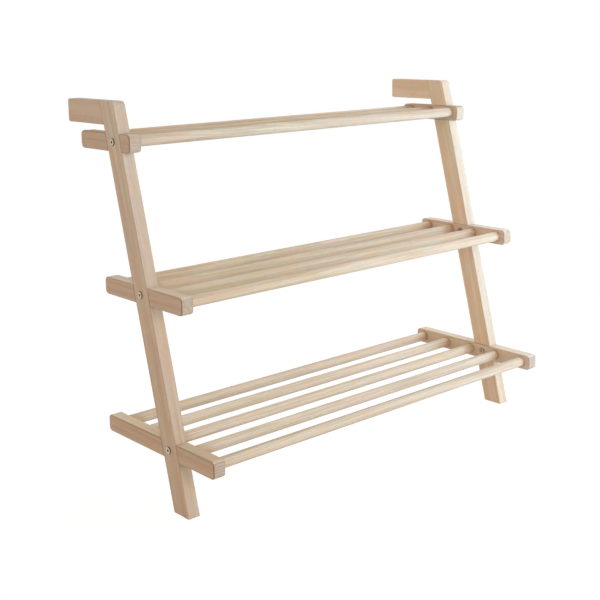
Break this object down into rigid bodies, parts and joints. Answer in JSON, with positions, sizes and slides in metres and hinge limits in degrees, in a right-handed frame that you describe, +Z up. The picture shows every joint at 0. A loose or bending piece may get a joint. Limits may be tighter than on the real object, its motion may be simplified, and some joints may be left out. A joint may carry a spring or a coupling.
{
  "type": "boot rack",
  "caption": "Leaning boot rack: two slanted wooden side frames with short wall arms, joined by round rods that make slatted shelves, deep at the bottom and shallow at the top.",
  "frame": {"origin": "on the floor, under the middle of the whole rack's bounding box", "axes": "+X along the rods to the right side frame, +Y back to the wall, +Z up"},
  "size_m": [0.874, 0.404, 0.7],
  "materials": {
    "frame_wood": "raw planed beech, fine straight grain, eased edges",
    "rod_wood": "raw turned beech",
    "dowel_wood": "raw turned beech, hidden inside the joints",
    "fastener_steel": "dull zinc-plated steel"
  },
  "bodies": {
    "root": {"upright_left": "frame_wood", "arm_left": "frame_wood", "dowel_lower_left": "dowel_wood", "dowel_upper_left": "dowel_wood", "crossbar_bottom_left": "frame_wood", "bolt_bottom_left": "fastener_steel", "sleeve_nut_bottom_left": "fastener_steel", "crossbar_middle_left": "frame_wood", "bolt_middle_left": "fastener_steel", "sleeve_nut_middle_left": "fastener_steel", "crossbar_top_left": "frame_wood", "bolt_top_left": "fastener_steel", "sleeve_nut_top_left": "fastener_steel", "upright_right": "frame_wood", "arm_right": "frame_wood", "dowel_lower_right": "dowel_wood", "dowel_upper_right": "dowel_wood", "crossbar_bottom_right": "frame_wood", "bolt_bottom_right": "fastener_steel", "sleeve_nut_bottom_right": "fastener_steel", "crossbar_middle_right": "frame_wood", "bolt_middle_right": "fastener_steel", "sleeve_nut_middle_right": "fastener_steel", "crossbar_top_right": "frame_wood", "bolt_top_right": "fastener_steel", "sleeve_nut_top_right": "fastener_steel", "rod_bottom_1": "rod_wood", "rod_bottom_2": "rod_wood", "rod_bottom_3": "rod_wood", "rod_bottom_4": "rod_wood", "rod_bottom_5": "rod_wood", "rod_middle_1": "rod_wood", "rod_middle_2": "rod_wood", "rod_middle_3": "rod_wood", "rod_middle_4": "rod_wood", "rod_top_1": "rod_wood", "rod_top_2": "rod_wood", "rod_top_3": "rod_wood"}
  },
  "joints": []
}
